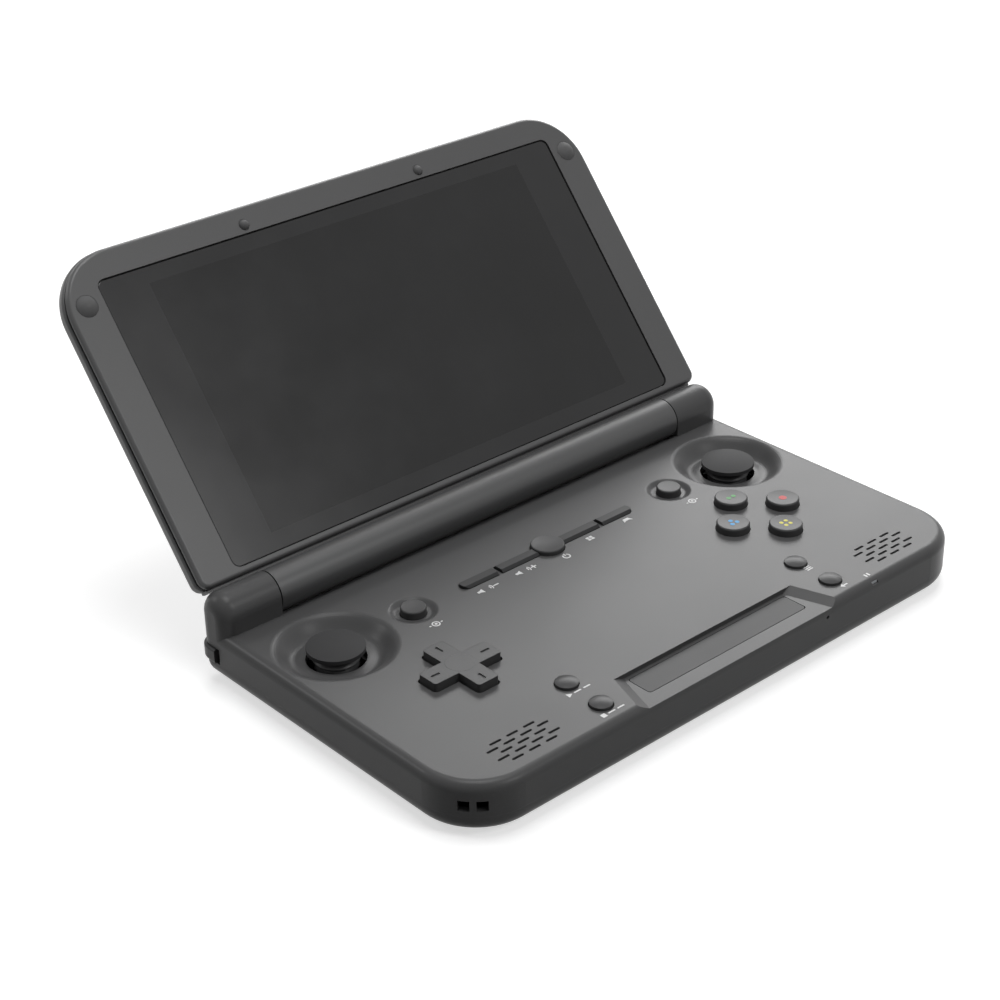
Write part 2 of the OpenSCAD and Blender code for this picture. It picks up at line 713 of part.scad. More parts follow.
// Speaker under a grille: frame with a stepped cone
speaker_w = 18;
speaker_d = 10.6;
speaker_h = 3.4;
speaker_rim = 0.9;
speaker_well = 1;
module speaker(side) {
    translate([side*speaker_x, speaker_y, deck_in - speaker_h]) difference() {
        linear_extrude(speaker_h) rrect(speaker_w, speaker_d, 2.5);
        translate([0, 0, speaker_h - speaker_well]) linear_extrude(speaker_h)
            rrect(speaker_w - 2*speaker_rim, speaker_d - 2*speaker_rim, 1.6);
    }
    translate([side*speaker_x, speaker_y, deck_in - speaker_well - 0.4]) linear_extrude(0.9)
        rrect(speaker_w - 7, speaker_d - 5.6, 2.4);
}
module speaker_left() color([0.1, 0.1, 0.11]) speaker(-1);
module speaker_right() color([0.1, 0.1, 0.11]) speaker(1);

module usb_socket() color([0.75, 0.75, 0.77]) metal_socket(usb, 0.35, 4);
module hdmi_socket() color([0.75, 0.75, 0.77]) metal_socket(hdmi, 0.4, 7.5);
module card_slot() color([0.75, 0.75, 0.77]) difference() {
    socket_block(card);
    translate([card[0] - 5.6, rear_y - card[3] + 1, board_top + 0.5])
        cube([11.2, card[3], 0.9]);
}
module headphone_jack() color([0.1, 0.1, 0.1]) difference() {
    translate([jack_x - jack_w/2, jack_face - jack_len, board_top])
        cube([jack_w, jack_len, jack_h]);
    translate([jack_x, jack_face + 1, jack_z]) rotate([90, 0, 0])
        cylinder(r = jack_r, h = jack_len + 0.2);
}

shield_w = 26;
shield_d = 16;
shield_h = 1.8;
shield_t = 0.3;
module processor_shield() color([0.75, 0.76, 0.78])
    translate([-9, key_y + 4.1, board_top]) difference() {
        linear_extrude(shield_h) rrect(shield_w, shield_d, 1);
        translate([0, 0, -eps]) linear_extrude(shield_h - shield_t)
            rrect(shield_w - 2*shield_t, shield_d - 2*shield_t, 1 - shield_t);
    }

module rubber_feet() color([0.06, 0.06, 0.06]) for (p = foot_at) translate([p.x, p.y, 0])
    rotate_extrude() {
        translate([0, 0.3]) square([foot_r, belly_z + foot_sink - 0.3]);
        square([foot_r - 0.3, 0.4]);
        translate([foot_r - 0.3, 0.3]) circle(0.3);
    }

drive_len = 2.2;
drive_w = 0.44;
module case_screws() color([0.5, 0.5, 0.52]) for (p = screw_at) translate([p.x, p.y, 0])
    difference() {
        union() {
            translate([0, 0, screw_seat_z - screw_head_h])
                cylinder(r = screw_head_r, h = screw_head_h);
            translate([0, 0, screw_seat_z - eps])
                cylinder(r = screw_r, h = split_z + screw_bite - screw_seat_z);
        }
        for (a = [0, 90]) rotate(a) translate([-drive_len/2, -drive_w/2, 0])
            cube([drive_len, drive_w, screw_seat_z - screw_head_h/2]);
    }

// Control boards hang under the deck; the left one is drawn, the right one mirrored
click_tongue = 4;
module control_board() {
    translate([0, 0, ctl_z]) linear_extrude(ctl_t) difference() {
        union() {
            translate([dpad_x - ctl_in, dpad_y - ctl_front])
                square([ctl_in + ctl_out, ctl_front + ctl_back]);
            translate([click_x - click_tongue, dpad_y])
                square([2*click_tongue, click_y + click_tongue - dpad_y]);
            translate([small_x - small_tongue, front_y + small_tongue + 0.8])
                square([7, dpad_y - front_y - small_tongue - 0.8]);
        }
        for (p = screw_at) translate([abs(p.x), p.y]) circle(boss_r + 0.3);
    }
}
module left_control_board() color([0.1, 0.35, 0.2]) mirror([1, 0, 0]) control_board();
module right_control_board() color([0.1, 0.35, 0.2]) control_board();
module key_board() color([0.1, 0.35, 0.2])
    translate([0, key_y + (key_board_back - key_board_front)/2, ctl_z]) linear_extrude(ctl_t)
        rrect(2*(key_end + key_board_side), key_board_front + key_board_back, 1);

// Rubber pads with a dome under each contact
pad_t = 0.5;
dome_at = 6.2;
dome_r = 1.8;
pad_w = 18.4;
pad_hole_r = 1.7;
module dpad_membrane() color([0.25, 0.25, 0.25]) translate([-dpad_x, dpad_y, ctl_top]) {
    top = dpad_flange_z - (dome_at + 2*dome_r)*sin(dpad_rock) - fit - ctl_top;
    difference() {
        linear_extrude(pad_t) rrect(pad_w, pad_w, 3);
        translate([0, 0, -1]) cylinder(r = pad_hole_r, h = pad_t + 2);
    }
    for (a = [0:90:270]) rotate(a) translate([dome_at, 0, 0]) cylinder(r = dome_r, h = top);
}
module face_membrane() color([0.25, 0.25, 0.25]) translate([face_x, face_y, ctl_top]) {
    linear_extrude(pad_t) {
        rrect(2*face_ring, 3, 1);
        rrect(3, 2*face_ring, 1);
    }
    for (a = [0:90:270]) rotate(a) translate([face_ring, 0, 0]) {
        cylinder(r = 3, h = pad_t);
        cylinder(r = 2.1, h = switch_top - ctl_top);
    }
}

// Tactile switches under the small buttons, keys and shoulder buttons
module tact(at) {
    translate([at.x, at.y, ctl_top]) {
        translate([-1.6, -1.6, 0]) cube([3.2, 3.2, (switch_top - ctl_top)*0.65]);
        cylinder(r = 0.9, h = switch_top - ctl_top);
    }
}
module tact_switches() color([0.6, 0.6, 0.62]) {
    for (s = [-1, 1]) {
        for (d = small_front) tact([s*small_x, front_y + d]);
        tact([s*click_x, click_y]);
        tact([s*(key_web + 4.8), key_y]);
        tact([s*(key_web - 4.6), key_y]);
        for (x = [(shoulder_in + shoulder_web)/2, shoulder_web + 6]) {
            tip = rear_y - wall - air - tab_t - shoulder_press - fit;
            translate([s*x - 2, tip - 3, board_top]) cube([4, 2.4, 3.2]);
            translate([s*x, tip, board_top + 1.8]) rotate([90, 0, 0]) cylinder(r = 0.9, h = 2);
        }
    }
    tact([0, key_y]);
}

module led_light_guide() color([0.9, 0.9, 0.85]) led_channel(0);
module microphone() color([0.6, 0.6, 0.6]) translate([mic_x - 1.5, front_y + wall, mic_z - 1.3])
    cube([3, 1.2, 1.8]);

// Hinge: a cartridge in each knuckle takes the pin that the lid's barrel carries
cartridge_len = 10.5;
module hinge_cartridges() color([0.45, 0.45, 0.47]) for (s = [0, 1]) mirror([s, 0, 0])
    translate([barrel_half + seam + 0.2, hinge_y, hinge_z]) rotate([0, 90, 0]) difference() {
        cylinder(r = cartridge_r, h = cartridge_len);
        translate([0, 0, -1]) cylinder(r = pin_r + fit, h = cartridge_len - 0.6);
    }

// Stick housing on the floor, open at the top, with two bearings along X
house_half = 6.6;
house_wall = 0.8;
module stick_housing(side) {
    top = pivot_z + 2.1;
    translate([side*stick_x, stick_y, 0]) difference() {
        translate([-house_half, -house_half, floor_in])
            cube([2*house_half, 2*house_half, top - floor_in]);
        translate([house_wall - house_half, house_wall - house_half, floor_in + 0.6])
            cube([2*(house_half - house_wall), 2*(house_half - house_wall), base_h]);
        translate([0, 0, pivot_z]) rotate([0, 90, 0])
            cylinder(r = ring_pin_r + fit, h = 4*house_half, center = true);
    }
}
module stick_housing_left() color([0.3, 0.3, 0.32]) stick_housing(-1);
module stick_housing_right() color([0.3, 0.3, 0.32]) stick_housing(1);

// Gimbal ring: turns about X in the housing and carries the shaft about Y
ring_r = 4.3;
ring_wall = 1.2;
ring_half_h = 0.9;
ring_pin_r = 0.6;
shaft_pin_r = 0.5;
module stick_ring(side) {
    translate([side*stick_x, stick_y, pivot_z]) {
        difference() {
            cylinder(r = ring_r, h = 2*ring_half_h, center = true);
            cylinder(r = ring_r - ring_wall, h = 4, center = true);
            rotate([90, 0, 0]) cylinder(r = shaft_pin_r + fit, h = 4*ring_r, center = true);
        }
        for (s = [0, 1]) mirror([s, 0, 0]) translate([ring_r - 0.5, 0, 0]) rotate([0, 90, 0])
            cylinder(r = ring_pin_r, h = house_half - ring_r + 0.4);
    }
}
module stick_ring_left() color([0.7, 0.7, 0.72]) stick_ring(-1);
module stick_ring_right() color([0.7, 0.7, 0.72]) stick_ring(1);

// Shaft with its cross pin and the round skirt that closes the hole in the dish
skirt_r = 5.4;
skirt_t = 0.5;
skirt_low = 2.3;
neck_r = 2;
neck_top = deck_z - 0.6;
module stick_shaft(side) {
    translate([side*stick_x, stick_y, pivot_z]) {
        translate([0, 0, -1.6]) cylinder(r = 1.5, h = skirt_r + 1.6 - skirt_t/2);
        rotate([90, 0, 0]) cylinder(r = shaft_pin_r, h = 2*(ring_r - 0.1), center = true);
        difference() {
            sphere(skirt_r);
            sphere(skirt_r - skirt_t);
            translate([0, 0, skirt_low - 2*skirt_r]) cube(4*skirt_r, center = true);
        }
        translate([0, 0, skirt_r - 0.45]) cylinder(r = neck_r, h = neck_top - pivot_z - skirt_r + 0.45);
    }
}
module stick_shaft_left() color([0.12, 0.12, 0.12]) stick_shaft(-1);
module stick_shaft_right() color([0.12, 0.12, 0.12]) stick_shaft(1);

// Rubber cap: a shallow dome on a collar that grips the neck
cap_rim_z = deck_z - 0.9;
cap_rim_h = 0.9;
module stick_cap(side) {
    crown = 0.7;
    ball = (cap_r*cap_r + crown*crown)/(2*crown);
    translate([side*stick_x, stick_y, 0]) rotate_extrude() difference() {
        union() {
            intersection() {
                translate([0, cap_rim_z]) square([cap_r, cap_rim_h + crown]);
                translate([0, cap_rim_z + cap_rim_h + crown - ball]) circle(ball, $fn = 180);
            }
            translate([0, cap_rim_z - 0.7]) square([neck_r + 0.8, 1]);
        }
        translate([-1, cap_rim_z - 2]) square([neck_r + 1 + 0.02, neck_top + 0.02 - cap_rim_z + 2]);
    }
}
module stick_cap_left() color([0.2, 0.2, 0.2]) stick_cap(-1);
module stick_cap_right() color([0.2, 0.2, 0.2]) stick_cap(1);

// Directional pad: a cross on a round flange, rocking on a small ball
dpad_slack = 0.4;
dpad_dish = 0.25;
dpad_dish_r = 20;
dpad_flange_r = 10.4;
dpad_flange_t = 0.7;
dpad_flange_z = deck_in - dpad_flange_r*sin(dpad_rock*sqrt(2)) - 0.12 - dpad_flange_t;
ball_r = 0.9;
ball_z = ctl_top + ball_r + 0.05;
module dpad_plan(grow) {
    for (a = [0, 90]) rotate(a) rrect(dpad_span + 2*grow, dpad_arm + 2*grow, 0.7 + grow);
}
module dpad() color([0.3, 0.3, 0.31]) translate([-dpad_x, dpad_y, 0]) {
    top = deck_z + dpad_up;
    difference() {
        union() {
            translate([0, 0, dpad_flange_z]) linear_extrude(top - dpad_flange_z) dpad_plan(0);
            translate([0, 0, dpad_flange_z]) cylinder(r = dpad_flange_r, h = dpad_flange_t);
            translate([0, 0, ball_z + 0.1]) cylinder(r = 1.5, h = dpad_flange_z - ball_z);
        }
        translate([0, 0, ball_z]) sphere(ball_r + fit);
        for (a = [0:90:270]) rotate(a) translate([dpad_span/2 - 3.4, -0.3, top - 0.25])
            cube([2.2, 0.6, 1]);
        translate([0, 0, top + dpad_dish_r - dpad_dish]) sphere(dpad_dish_r, $fn = 180);
    }
}
module dpad_pivot() color([0.7, 0.7, 0.72]) translate([-dpad_x, dpad_y, ball_z]) sphere(ball_r);

module face_button(dx, dy) {
    deck_button([face_x + dx*face_ring, face_y + dy*face_ring], face_r, face_up, 0.5, -0.2);
}
module face_button_back() color([0.3, 0.3, 0.31]) face_button(0, 1);
module face_button_right() color([0.3, 0.3, 0.31]) face_button(1, 0);
module face_button_left() color([0.3, 0.3, 0.31]) face_button(-1, 0);
module face_button_front() color([0.3, 0.3, 0.31]) face_button(0, -1);

module small_button(side, i) {
    deck_button([side*small_x, front_y + small_front[i]], small_r, small_up, 0.3, 0.45);
}
module start_button() color([0.3, 0.3, 0.31]) small_button(-1, 1);
module select_button() color([0.3, 0.3, 0.31]) small_button(-1, 0);
module menu_button() color([0.3, 0.3, 0.31]) small_button(1, 1);
module return_button() color([0.3, 0.3, 0.31]) small_button(1, 0);

click_up = 1;
module left_click_button() color([0.3, 0.3, 0.31])
    deck_button([-click_x, click_y], click_r, click_up, 0.4, -0.12);
module right_click_button() color([0.3, 0.3, 0.31])
    deck_button([click_x, click_y], click_r, click_up, 0.4, -0.12);

module volume_down_key() color([0.3, 0.3, 0.31]) outer_key(-1);
module volume_up_key() color([0.3, 0.3, 0.31]) inner_key(-1);
module view_key() color([0.3, 0.3, 0.31]) inner_key(1);
module game_key() color([0.3, 0.3, 0.31]) outer_key(1);
module power_button() color([0.35, 0.35, 0.36])
    deck_button([0, key_y], power_r, power_up, 0.4, -0.25);

module shoulder_left_outer() color([0.2, 0.2, 0.21]) mirror([1, 0, 0]) shoulder_outer();
module shoulder_left_inner() color([0.2, 0.2, 0.21]) mirror([1, 0, 0]) shoulder_inner();
module shoulder_right_outer() color([0.2, 0.2, 0.21]) shoulder_outer();
module shoulder_right_inner() color([0.2, 0.2, 0.21]) shoulder_inner();

// Lid, drawn lying open flat: Y runs from the hinge axis to the top edge, Z out of the screen
lid_y0 = barrel_r + knuckle_gap;
lid_half = half_w - lid_inset;
lid_wall = 1.5;
back_z = -barrel_r;
bezel_z = lid_face - bezel_t;
glass_z = lid_face - glass_sink - glass_t;
glass_w = 2*(lid_half - glass_side);
glass_len = lid_len - glass_top - glass_low;
glass_y = glass_low + glass_len/2;
panel_side = 8.95;
panel_end = 2.25;
bumper_at = [lid_half - 5.2, lid_len - 11.9];
small_bumper_at = [26.2, lid_len - 5];
bumper_seat = 0.8;
module lid_pose() translate([0, hinge_y, hinge_z]) rotate([lid_rise, 0, 0]) children();

module lid_cover() color([0.25, 0.25, 0.26]) lid_pose() difference() {
    union() {
        difference() {
            slab(lid_half, lid_y0, lid_len, lid_edge_r, lid_corner_r, back_z, bezel_z, 0.6, lid_edge_r);
            slab(lid_half - lid_wall, lid_y0 + lid_wall, lid_len - lid_wall, lid_edge_r - lid_wall,
                lid_corner_r - lid_wall, back_z + cover_t, 1, 0, 0.6);
        }
        translate([-barrel_half, 0, back_z])
            cube([2*barrel_half, lid_y0 + lid_edge_r, bezel_z - back_z]);
        translate([-barrel_half, 0, 0]) rotate([0, 90, 0])
            cylinder(r = barrel_r, h = 2*barrel_half);
        for (s = [-1, 1]) {
            translate([s*bumper_at.x, bumper_at.y, back_z + cover_t - eps])
                cylinder(r = 2.2, h = bezel_z - back_z - cover_t + eps);
            translate([s*small_bumper_at.x, small_bumper_at.y, back_z + cover_t - eps])
                cylinder(r = 1.7, h = bezel_z - back_z - cover_t + eps);
        }
    }
    for (s = [-1, 1]) {
        translate([s*bumper_at.x, bumper_at.y, back_z + cover_t]) cylinder(r = lid_screw_r + fit, h = 10);
        translate([s*small_bumper_at.x, small_bumper_at.y, back_z + cover_t])
            cylinder(r = lid_screw_r + fit, h = 10);
        translate([s*(barrel_half - 3), 0, 0]) rotate([0, 90, 0])
            cylinder(r = pin_r + 0.02, h = 6.02, center = true);
    }
    rotate([0, 90, 0]) cylinder(r = roll_r + slip, h = roll_len + 0.3, center = true);
    translate([-tail_w/2 - slip, 0, tail_z - slip])
        cube([tail_w + 2*slip, lid_y0 + lid_edge_r + 2, tail_t + 2*slip]);
}

// Bezel: rounded front edge over a groove, pocket for the glass, recesses for the bumpers
bezel_in = 0.3;
bezel_edge = 1.05;
bezel_groove = 0.8;
module lid_bezel() color([0.35, 0.35, 0.36]) lid_pose() difference() {
    union() {
        slab(lid_half - bezel_in, lid_y0, lid_len - bezel_in, lid_edge_r, lid_corner_r,
            lid_face - bezel_edge - 0.1, lid_face, bezel_edge, 0);
        slab(lid_half - bezel_in - bezel_groove, lid_y0 + bezel_groove,
            lid_len - bezel_in - bezel_groove, lid_edge_r - bezel_groove,
            lid_corner_r - bezel_groove, bezel_z, lid_face - bezel_edge, 0, 0);
    }
    translate([0, glass_y, glass_z]) linear_extrude(5) rrect(glass_w + 2*slip, glass_len + 2*slip, 2);
    translate([0, glass_y, bezel_z - 1]) linear_extrude(5)
        rrect(glass_w - 3, glass_len - 3, 1.2);
    for (s = [-1, 1]) {
        translate([s*bumper_at.x, bumper_at.y, bezel_z - 1]) {
            cylinder(r = lid_screw_r + slip, h = 5);
            translate([0, 0, lid_face - bumper_seat - lid_head_h - bezel_z + 1])
                cylinder(r = lid_head_r + slip, h = 5);
            translate([0, 0, lid_face - bumper_seat - bezel_z + 1])
                cylinder(r = bumper_r + fit, h = 5);
        }
        translate([s*small_bumper_at.x, small_bumper_at.y, bezel_z - 1]) {
            cylinder(r = lid_screw_r + slip, h = 5);
            translate([0, 0, lid_face - bumper_seat - lid_head_h - bezel_z + 1])
                cylinder(r = small_bumper_r + fit, h = 5);
        }
    }
}

module touch_glass() color([0.1, 0.1, 0.11]) lid_pose()
    translate([0, glass_y, glass_z]) linear_extrude(glass_t) rrect(glass_w, glass_len, 1.9);
module display_panel() color([0.05, 0.05, 0.06]) lid_pose()
    translate([0, glass_y + 0.2, glass_z - panel_t]) linear_extrude(panel_t)
        rrect(glass_w - 2*panel_side, glass_len - 2*panel_end, 0.5);

bumper_up = 0.9;
module bumper(r) {
    ball = (r*r + bumper_up*bumper_up)/(2*bumper_up);
    translate([0, 0, lid_face - bumper_seat]) cylinder(r = r, h = bumper_seat);
    translate([0, 0, lid_face]) intersection() {
        translate([0, 0, bumper_up - ball]) sphere(ball, $fn = 120);
        translate([0, 0, -eps]) cylinder(r = r, h = 2*bumper_up);
    }
}
module lid_bumpers() color([0.15, 0.15, 0.16]) lid_pose() for (s = [-1, 1]) {
    translate([s*bumper_at.x, bumper_at.y, 0]) bumper(bumper_r);
    translate([s*small_bumper_at.x, small_bumper_at.y, 0]) bumper(small_bumper_r);
}

lid_screw_r = 0.7;
lid_head_r = 1.15;
lid_head_h = 0.5;
module lid_screws() color([0.6, 0.6, 0.62]) lid_pose()
    for (s = [-1, 1], at = [bumper_at, small_bumper_at]) translate([s*at.x, at.y, 0]) {
        translate([0, 0, lid_face - bumper_seat - lid_head_h]) cylinder(r = lid_head_r, h = lid_head_h);
        translate([0, 0, back_z + cover_t + 0.3])
            cylinder(r = lid_screw_r, h = lid_face - bumper_seat - back_z - cover_t - 0.6);
    }

module hinge_pins() color([0.75, 0.75, 0.77]) lid_pose() for (s = [0, 1]) mirror([s, 0, 0])
    translate([barrel_half - 5.9, 0, 0]) rotate([0, 90, 0])
        cylinder(r = pin_r, h = 5.9 + seam + 0.2 + cartridge_len - 2);

// Flexible display cable: a roll in the barrel with a tail up to the panel
roll_r = 2.6;
roll_len = 30;
tail_w = 14;
tail_t = 0.3;
tail_z = -roll_r;
module display_cable() color([0.7, 0.45, 0.15]) lid_pose() {
    rotate([0, 90, 0]) difference() {
        cylinder(r = roll_r, h = roll_len, center = true);
        cylinder(r = roll_r - 0.5, h = roll_len + 1, center = true);
    }
    translate([-tail_w/2, 0, tail_z]) cube([tail_w, glass_low + 6, tail_t]);
}

lower_case();
upper_case();
notch_plate();
mainboard();
battery();
speaker_left();
speaker_right();
usb_socket();
hdmi_socket();
headphone_jack();
card_slot();
processor_shield();
rubber_feet();
case_screws();
dpad_membrane();
face_membrane();
left_control_board();
right_control_board();
key_board();
tact_switches();
led_light_guide();
microphone();
hinge_cartridges();
stick_housing_left();
stick_housing_right();
dpad();
dpad_pivot();
face_button_back();
face_button_right();
face_button_left();
face_button_front();
start_button();
select_button();
menu_button();
return_button();
left_click_button();
right_click_button();
volume_down_key();
volume_up_key();
power_button();
view_key();
game_key();
shoulder_left_outer();
shoulder_left_inner();
shoulder_right_outer();
shoulder_right_inner();
stick_ring_left();
stick_ring_right();
stick_shaft_left();
stick_shaft_right();
stick_cap_left();
stick_cap_right();
lid_cover();
lid_bezel();
touch_glass();
display_panel();
lid_bumpers();
lid_screws();
hinge_pins();
display_cable();
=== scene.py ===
"""Looks for a clamshell handheld game console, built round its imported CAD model."""
import json
import math

import bmesh
import bpy
from mathutils import Matrix, Vector


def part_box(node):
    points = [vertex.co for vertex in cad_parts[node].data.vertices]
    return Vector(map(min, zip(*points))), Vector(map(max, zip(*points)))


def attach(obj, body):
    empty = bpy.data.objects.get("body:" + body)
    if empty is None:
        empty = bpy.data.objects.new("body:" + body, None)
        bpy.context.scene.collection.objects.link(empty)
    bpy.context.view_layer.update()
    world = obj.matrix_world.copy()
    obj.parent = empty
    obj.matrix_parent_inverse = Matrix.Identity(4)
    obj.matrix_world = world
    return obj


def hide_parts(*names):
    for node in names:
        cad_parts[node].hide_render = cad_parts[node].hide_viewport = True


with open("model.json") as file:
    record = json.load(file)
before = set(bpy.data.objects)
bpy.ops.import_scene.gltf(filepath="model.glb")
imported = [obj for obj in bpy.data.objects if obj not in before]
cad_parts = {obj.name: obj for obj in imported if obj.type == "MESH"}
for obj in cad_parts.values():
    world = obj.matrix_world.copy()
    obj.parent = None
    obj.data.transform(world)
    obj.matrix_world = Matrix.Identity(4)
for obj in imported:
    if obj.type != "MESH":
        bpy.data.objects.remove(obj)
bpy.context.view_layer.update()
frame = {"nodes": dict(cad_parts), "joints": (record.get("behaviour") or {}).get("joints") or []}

MM = 0.001

# Camera of the photograph, solved from the console's own edges
CAMERA_RIGHT = (0.7445135, -0.6673669, -0.0179194)
CAMERA_UP = (0.3319180, 0.3467316, 0.8772729)
CAMERA_BACK = (-0.5792496, -0.6590891, 0.4796574)
CAMERA_AT = (-0.287112, -0.320318, 0.256240)
LENS, SENSOR = 76.219, 36
CLIP_NEAR, CLIP_FAR = 0.01, 20

# Strength of the world: on the object, and as the eye and glossy surfaces see it
WORLD_LIGHT, WORLD_WHITE = 0.12, 1.0
FLOOR_SIZE, FLOOR_DROP = 6, 0.0001
# Floor: grey that lights the object, then paint and glow that the eye sees
FLOOR_MATTE, FLOOR_PALE, FLOOR_GLOW = 0.10, 0.62, 0.6

# Millimetres: ink thickness, deck over the notch plate, ink under a face button's rim
INK = 0.03
DECK_OVER_PLATE = 1.1
PIPS_UNDER_RIM = 0.15

# Heights that the stick domes and the pad's middle are set from
STICK_PIVOT_Z = 5.3 * MM
DPAD_TOP_Z = 14.3 * MM

# Places that several pieces share, taken from the frame
HINGE = next(j for j in frame["joints"] if j["name"] == "lid_hinge")
HINGE_Y, HINGE_Z = HINGE["pos_m"][1], HINGE["pos_m"][2]
LID_RISE = math.radians(HINGE["range_deg"][1])
LID = Matrix.Translation((0, HINGE_Y, HINGE_Z)) @ Matrix.Rotation(LID_RISE, 4, "X")


def centre(node):
    """Middle of a CAD node at rest, in metres."""
    low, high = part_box(node)
    return [(a + b) / 2 for a, b in zip(low, high)]


def make_camera():
    data = bpy.data.cameras.new("photo_camera")
    data.lens = LENS
    data.sensor_width = SENSOR
    data.clip_start = CLIP_NEAR
    data.clip_end = CLIP_FAR
    cam = bpy.data.objects.new("photo_camera", data)
    bpy.context.collection.objects.link(cam)
    place = Matrix((CAMERA_RIGHT, CAMERA_UP, CAMERA_BACK)).transposed().to_4x4()
    place.translation = CAMERA_AT
    cam.matrix_world = place
    bpy.context.scene.camera = cam


def material(name):
    mat = bpy.data.materials.new(name)
    mat.use_nodes = True
    mat.node_tree.nodes.clear()
    return mat, mat.node_tree.nodes, mat.node_tree.links


def plain(nodes, kind, grey, strength=None):
    """Grey shader node of the given kind, with constant values."""
    node = nodes.new(kind)
    node.inputs["Color"].default_value = (grey, grey, grey, 1)
    if strength is not None:
        node.inputs["Strength"].default_value = strength
    return node


def mixed(nodes, links, factor, first, second, output):
    """Mixes two shaders by a factor and joins them to the output's surface."""
    mix = nodes.new("ShaderNodeMixShader")
    links.new(factor, mix.inputs["Fac"])
    links.new(first.outputs[0], mix.inputs[1])
    links.new(second.outputs[0], mix.inputs[2])
    links.new(mix.outputs[0], output.inputs["Surface"])


def seen_by_eye_or_gloss(nodes, links):
    """1 for camera, glossy and transmission rays, 0 for the rays that light the object."""
    path = nodes.new("ShaderNodeLightPath")
    first = nodes.new("ShaderNodeMath")
    first.operation = "MAXIMUM"
    second = nodes.new("ShaderNodeMath")
    second.operation = "MAXIMUM"
    links.new(path.outputs["Is Camera Ray"], first.inputs[0])
    links.new(path.outputs["Is Glossy Ray"], first.inputs[1])
    links.new(first.outputs[0], second.inputs[0])
    links.new(path.outputs["Is Transmission Ray"], second.inputs[1])
    return second.outputs[0]


def make_world():
    world = bpy.data.worlds.new("studio")
    world.use_nodes = True
    bpy.context.scene.world = world
    nodes, links = world.node_tree.nodes, world.node_tree.links
    nodes.clear()
    out = nodes.new("ShaderNodeOutputWorld")
    light = plain(nodes, "ShaderNodeBackground", 1, WORLD_LIGHT)
    white = plain(nodes, "ShaderNodeBackground", 1, WORLD_WHITE)
    mixed(nodes, links, seen_by_eye_or_gloss(nodes, links), light, white, out)


def make_floor():
    bpy.ops.mesh.primitive_plane_add(size=FLOOR_SIZE, location=(0, 0, -FLOOR_DROP))
    floor = bpy.context.object
    floor.name = "studio_floor"
    mat, nodes, links = material("studio_floor")
    out = nodes.new("ShaderNodeOutputMaterial")
    matte = plain(nodes, "ShaderNodeBsdfDiffuse", FLOOR_MATTE)
    pale = plain(nodes, "ShaderNodeBsdfDiffuse", FLOOR_PALE)
    glow = plain(nodes, "ShaderNodeEmission", 1, FLOOR_GLOW)
    add = nodes.new("ShaderNodeAddShader")
    links.new(pale.outputs[0], add.inputs[0])
    links.new(glow.outputs[0], add.inputs[1])
    mixed(nodes, links, seen_by_eye_or_gloss(nodes, links), matte, add, out)
    floor.data.materials.append(mat)


def softbox(name, at, look, size, watts):
    data = bpy.data.lights.new(name, "AREA")
    data.shape = "RECTANGLE"
    data.size, data.size_y = size
    data.energy = watts
    lamp = bpy.data.objects.new(name, data)
    bpy.context.collection.objects.link(lamp)
    lamp.location = at
    lamp.rotation_euler = (Vector(look) - Vector(at)).to_track_quat("-Z", "Y").to_euler()


def make_lights():
    softbox("key_above", (0.04, 0.02, 0.92), (0, 0, 0), (0.42, 0.42), 4.0)
    softbox("sheen_back_right", (0.74, 0.65, 0.58), (0, -0.02, 0.01), (0.8, 0.5), 7.8)
    softbox("sheen_front", (0.25, -0.70, 0.72), (-0.06, 0.05, 0.05), (0.3, 0.3), 2.2)
    softbox("sheen_back_left", (-0.50, 0.68, 0.58), (-0.06, -0.02, 0.01), (0.2, 0.2), 1.1)


def coordinate(nodes):
    return nodes.new("ShaderNodeTexCoord").outputs["Object"]


def surfaced(name):
    """Material with a principled surface, and what its texture nodes are built with."""
    mat, nodes, links = material(name)
    out = nodes.new("ShaderNodeOutputMaterial")
    bsdf = nodes.new("ShaderNodeBsdfPrincipled")
    links.new(bsdf.outputs[0], out.inputs["Surface"])
    return mat, nodes, links, bsdf


def noise(nodes, links, vector, per_mm, detail=2.0, rough=0.5):
    """Noise whose features are about 1/per_mm millimetres wide."""
    tex = nodes.new("ShaderNodeTexNoise")
    tex.inputs["Scale"].default_value = per_mm / MM
    tex.inputs["Detail"].default_value = detail
    tex.inputs["Roughness"].default_value = rough
    links.new(vector, tex.inputs["Vector"])
    return tex.outputs["Fac"]


def ranged(nodes, links, value, low, high, from_low=0.3, from_high=0.7):
    node = nodes.new("ShaderNodeMapRange")
    node.inputs["From Min"].default_value = from_low
    node.inputs["From Max"].default_value = from_high
    node.inputs["To Min"].default_value = low
    node.inputs["To Max"].default_value = high
    links.new(value, node.inputs["Value"])
    return node.outputs["Result"]


def blend_colour(nodes, links, factor, a, b):
    node = nodes.new("ShaderNodeMix")
    node.data_type = "RGBA"
    links.new(factor, node.inputs["Factor"])
    for socket, value in ((node.inputs[6], a), (node.inputs[7], b)):
        if isinstance(value, (tuple, list)):
            socket.default_value = (*value, 1)
        else:
            links.new(value, socket)
    return node.outputs[2]


